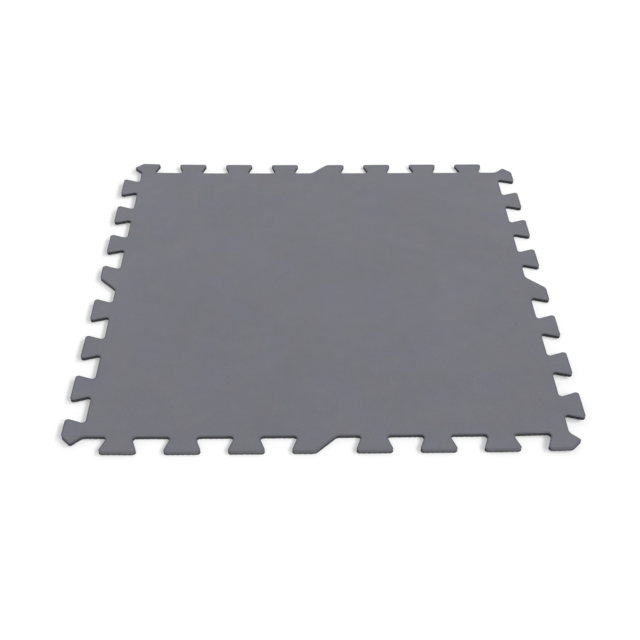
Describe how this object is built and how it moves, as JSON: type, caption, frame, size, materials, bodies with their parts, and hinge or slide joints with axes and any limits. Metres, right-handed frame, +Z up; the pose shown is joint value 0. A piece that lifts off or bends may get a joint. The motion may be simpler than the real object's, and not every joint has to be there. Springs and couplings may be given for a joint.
{
  "type": "interlocking foam mat tile",
  "caption": "Thin square foam mat tile with dovetail teeth on all sides, for laying out and blocking knitting or padding a floor.",
  "frame": {"origin": "middle of the tile's underside, on the surface it lies on", "axes": "+Z up through the thickness, out of the smooth face; +X and +Y along the sides of the square, +X to the right seen from the front side at -Y"},
  "size_m": [0.5, 0.5, 0.004],
  "materials": {
    "base_skin": "matte",
    "foam_core": "matte",
    "face_skin": "matte"
  },
  "bodies": {
    "root": {"base_skin": "base_skin", "foam_core": "foam_core", "face_skin": "face_skin"}
  },
  "joints": []
}
